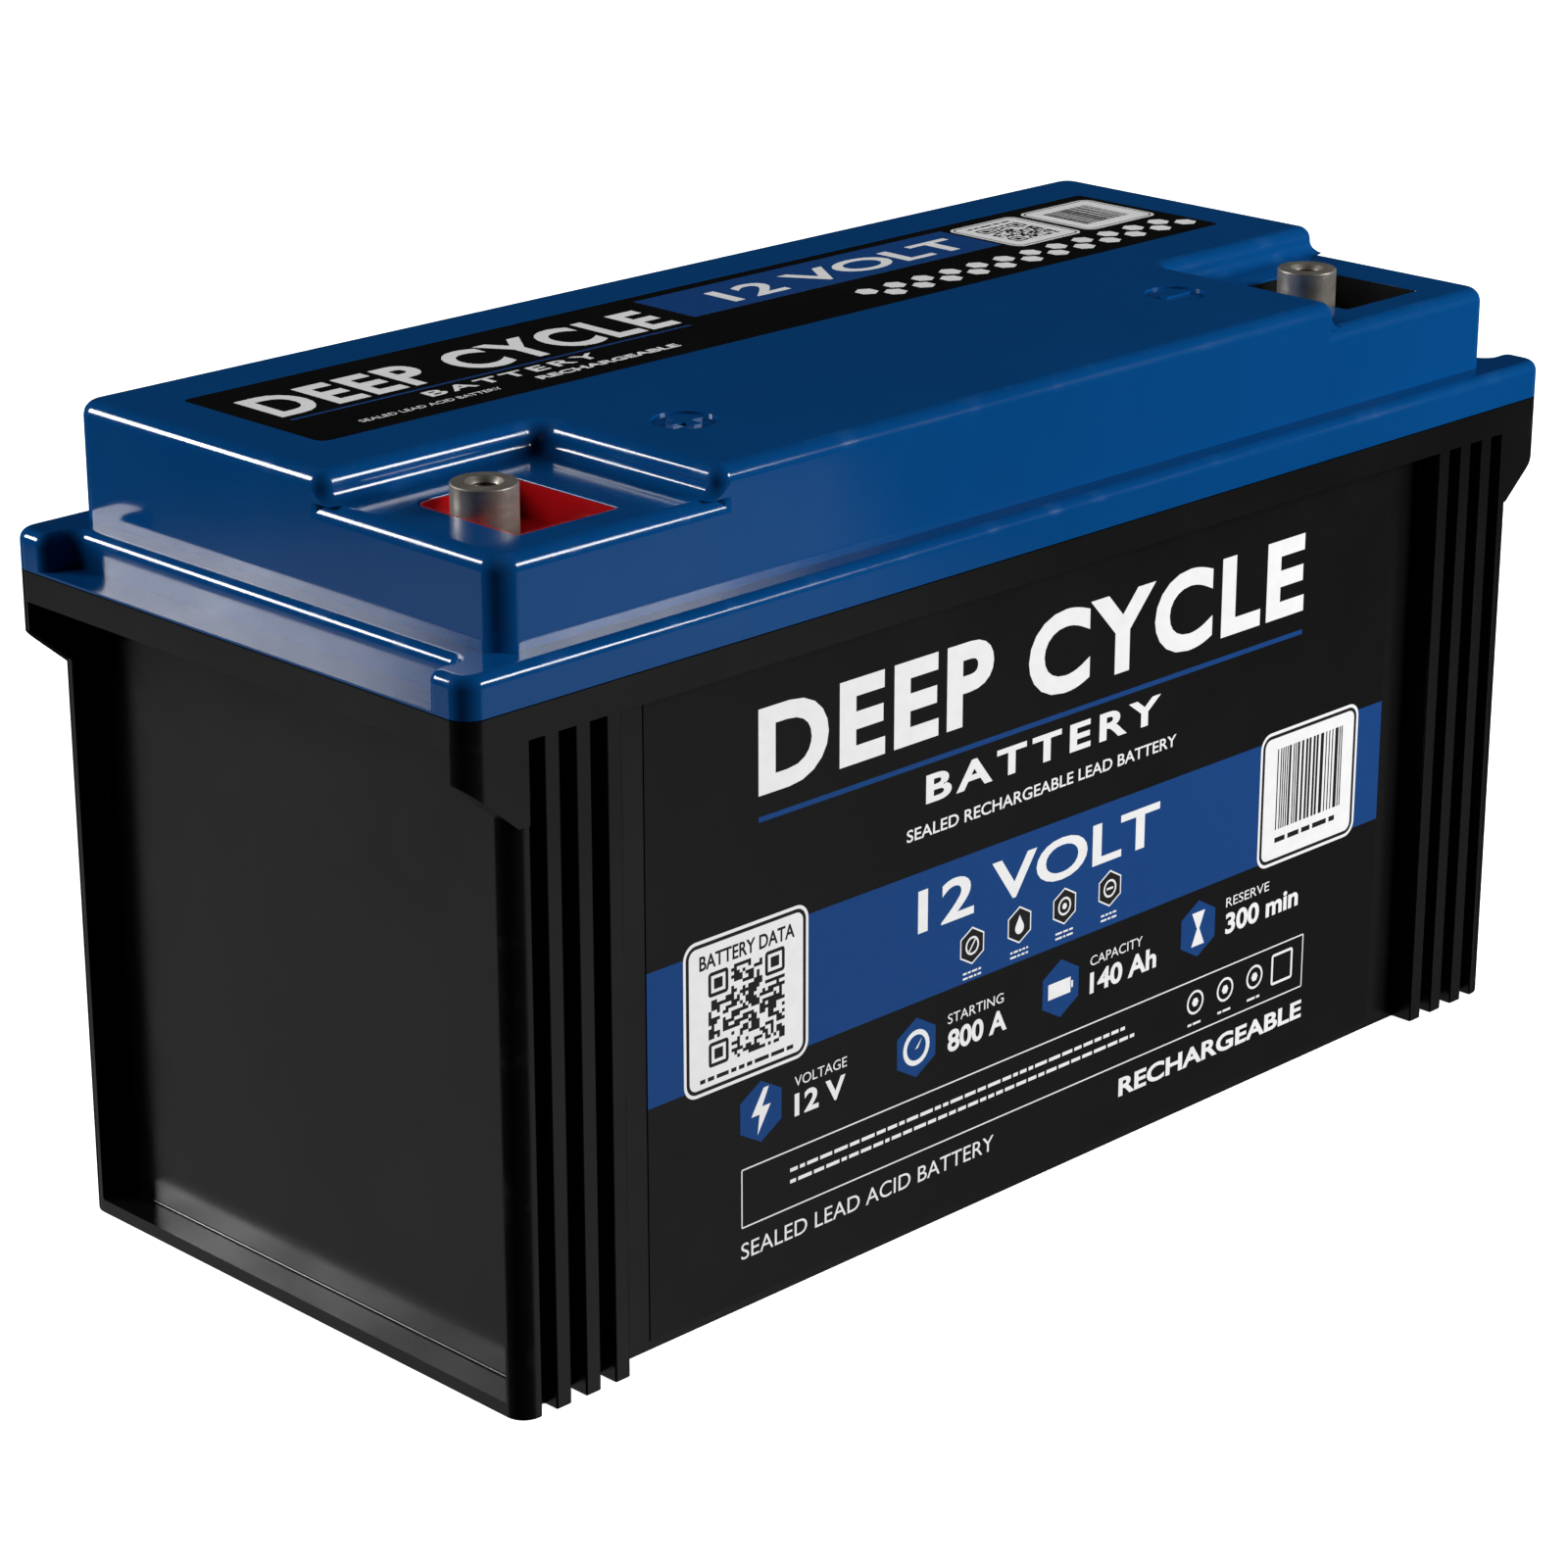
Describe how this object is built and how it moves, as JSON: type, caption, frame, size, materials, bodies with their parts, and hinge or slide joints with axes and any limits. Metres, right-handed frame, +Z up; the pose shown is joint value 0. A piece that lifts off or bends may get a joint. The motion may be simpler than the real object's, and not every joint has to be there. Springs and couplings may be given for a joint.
{
  "type": "deep cycle battery",
  "caption": "Sealed deep cycle battery: ribbed black case with end hand-holds, stepped blue lid, threaded terminals in coloured wells and cells of lead plates inside.",
  "frame": {"origin": "centre of the footprint, on the surface the battery stands on", "axes": "+X along the length, from the positive terminal's end to the negative terminal's end; -Y out of the labelled front face; +Z up"},
  "size_m": [0.41, 0.173, 0.2224],
  "materials": {
    "case_plastic": "moulded gloss black, lightly polished",
    "lid_plastic": "moulded gloss blue",
    "cover_plastic": "moulded blue, satin",
    "cup_red": "moulded red",
    "cup_black": "moulded black",
    "cap_rubber": "soft rubber",
    "sealant": "cured sealant",
    "terminal_metal": "tinned, turned",
    "lead": "cast lead",
    "positive_paste": "cured lead dioxide paste",
    "negative_paste": "cured sponge lead paste",
    "glass_mat": "absorbent glass mat",
    "label_print": "printed film, satin"
  },
  "bodies": {
    "battery": {"case": "case_plastic", "lid": "lid_plastic", "lid_seal": "sealant", "valve_cover": "cover_plastic", "terminal_cup_positive": "cup_red", "terminal_positive": "terminal_metal", "terminal_oring_positive": "sealant", "terminal_post_positive": "lead", "terminal_cup_negative": "cup_black", "terminal_negative": "terminal_metal", "terminal_oring_negative": "sealant", "terminal_post_negative": "lead", "positive_plates_1": "positive_paste", "negative_plates_1": "negative_paste", "glass_mats_1": "glass_mat", "positive_plates_2": "positive_paste", "negative_plates_2": "negative_paste", "glass_mats_2": "glass_mat", "positive_plates_3": "positive_paste", "negative_plates_3": "negative_paste", "glass_mats_3": "glass_mat", "positive_plates_4": "positive_paste", "negative_plates_4": "negative_paste", "glass_mats_4": "glass_mat", "positive_plates_5": "positive_paste", "negative_plates_5": "negative_paste", "glass_mats_5": "glass_mat", "positive_plates_6": "positive_paste", "negative_plates_6": "negative_paste", "glass_mats_6": "glass_mat", "cell_connector_1": "lead", "cell_connector_2": "lead", "cell_connector_3": "lead", "cell_connector_4": "lead", "cell_connector_5": "lead", "label_top": "label_print", "label_front": "label_print"},
    "valve_1": {"valve_cap_1": "cap_rubber"},
    "valve_2": {"valve_cap_2": "cap_rubber"},
    "valve_3": {"valve_cap_3": "cap_rubber"},
    "valve_4": {"valve_cap_4": "cap_rubber"},
    "valve_5": {"valve_cap_5": "cap_rubber"},
    "valve_6": {"valve_cap_6": "cap_rubber"}
  },
  "joints": [
    {"name": "valve_1_lift", "type": "slide", "parent": "battery", "child": "valve_1", "axis": [0, 0, 1], "range_m": [0, 0.0008], "stiffness_N_per_m": 1500, "springref_m": -0.0008},
    {"name": "valve_2_lift", "type": "slide", "parent": "battery", "child": "valve_2", "axis": [0, 0, 1], "range_m": [0, 0.0008], "stiffness_N_per_m": 1500, "springref_m": -0.0008},
    {"name": "valve_3_lift", "type": "slide", "parent": "battery", "child": "valve_3", "axis": [0, 0, 1], "range_m": [0, 0.0008], "stiffness_N_per_m": 1500, "springref_m": -0.0008},
    {"name": "valve_4_lift", "type": "slide", "parent": "battery", "child": "valve_4", "axis": [0, 0, 1], "range_m": [0, 0.0008], "stiffness_N_per_m": 1500, "springref_m": -0.0008},
    {"name": "valve_5_lift", "type": "slide", "parent": "battery", "child": "valve_5", "axis": [0, 0, 1], "range_m": [0, 0.0008], "stiffness_N_per_m": 1500, "springref_m": -0.0008},
    {"name": "valve_6_lift", "type": "slide", "parent": "battery", "child": "valve_6", "axis": [0, 0, 1], "range_m": [0, 0.0008], "stiffness_N_per_m": 1500, "springref_m": -0.0008}
  ]
}
